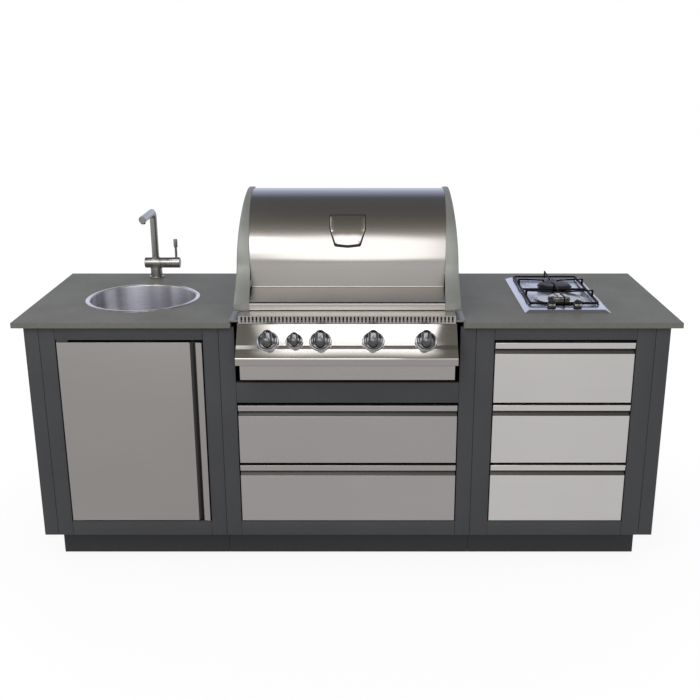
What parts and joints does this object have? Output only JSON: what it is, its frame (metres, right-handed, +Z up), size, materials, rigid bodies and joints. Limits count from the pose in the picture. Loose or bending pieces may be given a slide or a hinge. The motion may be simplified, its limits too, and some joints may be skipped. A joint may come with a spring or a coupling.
{
  "type": "outdoor kitchen island",
  "caption": "Freestanding outdoor kitchen island with a round sink and tap, a built-in gas grill with a hinged lid, a drop-in gas hob, a cabinet door and drawers under a worktop.",
  "frame": {"origin": "on the floor, at the centre of the island's footprint box", "axes": "+X to the right seen from the front, -Y out of the front, +Z up"},
  "size_m": [2.29, 0.844, 1.3128],
  "materials": {
    "cabinet_board": "matt charcoal board",
    "carcass_board": "matt dark board",
    "worktop_stone": "fine matt grey stone",
    "front_steel": "horizontally brushed",
    "box_steel": "mill finish",
    "sink_steel": "satin, polished rim",
    "tap_steel": "satin",
    "hob_steel": "satin",
    "hob_enamel": "matt black enamel",
    "grill_steel": "horizontally brushed",
    "firebox_steel": "mill finish",
    "casting": "satin grey casting",
    "knob_chrome": "polished",
    "grate_iron": "matt black",
    "gas_brass": "turned"
  },
  "bodies": {
    "island": {"left_carcass": "carcass_board", "left_face_frame": "cabinet_board", "left_plinth": "carcass_board", "centre_carcass": "carcass_board", "centre_face_frame": "cabinet_board", "centre_plinth": "carcass_board", "right_carcass": "carcass_board", "right_face_frame": "cabinet_board", "right_plinth": "carcass_board", "left_end_panel": "cabinet_board", "right_end_panel": "cabinet_board", "lower_door_pivot": "box_steel", "upper_door_pivot": "box_steel", "left_worktop": "worktop_stone", "right_worktop": "worktop_stone", "rear_worktop": "worktop_stone", "sink_bowl": "sink_steel", "sink_waste": "sink_steel", "tap_body": "tap_steel", "hob_tray": "hob_steel", "hob_front_burner": "hob_steel", "hob_rear_burner": "hob_enamel", "firebox": "firebox_steel", "burner_1": "firebox_steel", "burner_2": "firebox_steel", "burner_3": "firebox_steel", "burner_4": "firebox_steel", "warming_rack": "knob_chrome", "vent_sill": "grill_steel", "control_panel": "grill_steel", "gas_manifold": "gas_brass"},
    "tap_spout": {"tap_spout": "tap_steel"},
    "tap_cap": {"tap_cap": "tap_steel"},
    "tap_lever": {"tap_lever": "tap_steel"},
    "pan_support": {"pan_support": "hob_enamel"},
    "hob_left_knob": {"hob_left_knob": "knob_chrome"},
    "hob_right_knob": {"hob_right_knob": "knob_chrome"},
    "left_grate": {"left_grate": "grate_iron"},
    "centre_grate": {"centre_grate": "grate_iron"},
    "right_grate": {"right_grate": "grate_iron"},
    "knob_1": {"knob_1": "knob_chrome"},
    "ignition_knob": {"ignition_knob": "knob_chrome"},
    "knob_2": {"knob_2": "knob_chrome"},
    "knob_3": {"knob_3": "knob_chrome"},
    "knob_4": {"knob_4": "knob_chrome"},
    "drip_tray": {"drip_tray": "firebox_steel"},
    "lid": {"lid_skin": "grill_steel", "left_lid_casting": "casting", "right_lid_casting": "casting"},
    "door": {"door": "front_steel"},
    "centre_lower_drawer": {"centre_lower_drawer_front": "front_steel", "centre_lower_drawer_box": "box_steel"},
    "centre_upper_drawer": {"centre_upper_drawer_front": "front_steel", "centre_upper_drawer_box": "box_steel"},
    "right_lower_drawer": {"right_lower_drawer_front": "front_steel", "right_lower_drawer_box": "box_steel"},
    "right_middle_drawer": {"right_middle_drawer_front": "front_steel", "right_middle_drawer_box": "box_steel"},
    "right_upper_drawer": {"right_upper_drawer_front": "front_steel", "right_upper_drawer_box": "box_steel"}
  },
  "joints": [
    {"name": "spout_swivel", "type": "hinge", "parent": "island", "child": "tap_spout", "pos_m": [-0.783, 0.356, 1], "axis": [0, 0, 1], "range_deg": [-60, 60]},
    {"name": "cap_turn", "type": "hinge", "parent": "island", "child": "tap_cap", "pos_m": [-0.783, 0.356, 0.974], "axis": [1, 0, 0], "range_deg": [-45, 45]},
    {"name": "lever_tilt", "type": "hinge", "parent": "tap_cap", "child": "tap_lever", "pos_m": [-0.7, 0.356, 0.974], "axis": [0, 1, 0], "range_deg": [0, 12]},
    {"name": "pan_support_lift", "type": "slide", "parent": "island", "child": "pan_support", "axis": [0, 0, 1], "range_m": [0, 0.03]},
    {"name": "hob_left_knob_turn", "type": "hinge", "parent": "island", "child": "hob_left_knob", "pos_m": [0.72382, -0.162, 0.93], "axis": [0, 0, 1], "range_deg": [0, 180]},
    {"name": "hob_right_knob_turn", "type": "hinge", "parent": "island", "child": "hob_right_knob", "pos_m": [0.81622, -0.162, 0.93], "axis": [0, 0, 1], "range_deg": [0, 180]},
    {"name": "left_grate_lift", "type": "slide", "parent": "island", "child": "left_grate", "axis": [0, 0, 1], "range_m": [0, 0.03]},
    {"name": "centre_grate_lift", "type": "slide", "parent": "island", "child": "centre_grate", "axis": [0, 0, 1], "range_m": [0, 0.03]},
    {"name": "right_grate_lift", "type": "slide", "parent": "island", "child": "right_grate", "axis": [0, 0, 1], "range_m": [0, 0.03]},
    {"name": "knob_1_turn", "type": "hinge", "parent": "island", "child": "knob_1", "pos_m": [-0.267, -0.374, 0.863], "axis": [0, -0.6996, 0.7145], "range_deg": [0, 180]},
    {"name": "ignition_knob_turn", "type": "hinge", "parent": "island", "child": "ignition_knob", "pos_m": [-0.177, -0.374, 0.863], "axis": [0, -0.6996, 0.7145], "range_deg": [0, 90]},
    {"name": "knob_2_turn", "type": "hinge", "parent": "island", "child": "knob_2", "pos_m": [-0.089, -0.374, 0.863], "axis": [0, -0.6996, 0.7145], "range_deg": [0, 180]},
    {"name": "knob_3_turn", "type": "hinge", "parent": "island", "child": "knob_3", "pos_m": [0.089, -0.374, 0.863], "axis": [0, -0.6996, 0.7145], "range_deg": [0, 180]},
    {"name": "knob_4_turn", "type": "hinge", "parent": "island", "child": "knob_4", "pos_m": [0.267, -0.374, 0.863], "axis": [0, -0.6996, 0.7145], "range_deg": [0, 180]},
    {"name": "drip_tray_slide", "type": "slide", "parent": "island", "child": "drip_tray", "axis": [0, -1, 0], "range_m": [0, 0.4]},
    {"name": "lid_hinge", "type": "hinge", "parent": "island", "child": "lid", "pos_m": [0, 0.329, 0.975], "axis": [-1, 0, 0], "range_deg": [0, 85]},
    {"name": "door_hinge", "type": "hinge", "parent": "island", "child": "door", "pos_m": [-0.989, -0.296, 0.5], "axis": [0, 0, -1], "range_deg": [0, 110]},
    {"name": "centre_lower_drawer_slide", "type": "slide", "parent": "island", "child": "centre_lower_drawer", "axis": [0, -1, 0], "range_m": [0, 0.45]},
    {"name": "centre_upper_drawer_slide", "type": "slide", "parent": "island", "child": "centre_upper_drawer", "axis": [0, -1, 0], "range_m": [0, 0.45]},
    {"name": "right_lower_drawer_slide", "type": "slide", "parent": "island", "child": "right_lower_drawer", "axis": [0, -1, 0], "range_m": [0, 0.45]},
    {"name": "right_middle_drawer_slide", "type": "slide", "parent": "island", "child": "right_middle_drawer", "axis": [0, -1, 0], "range_m": [0, 0.45]},
    {"name": "right_upper_drawer_slide", "type": "slide", "parent": "island", "child": "right_upper_drawer", "axis": [0, -1, 0], "range_m": [0, 0.45]}
  ]
}
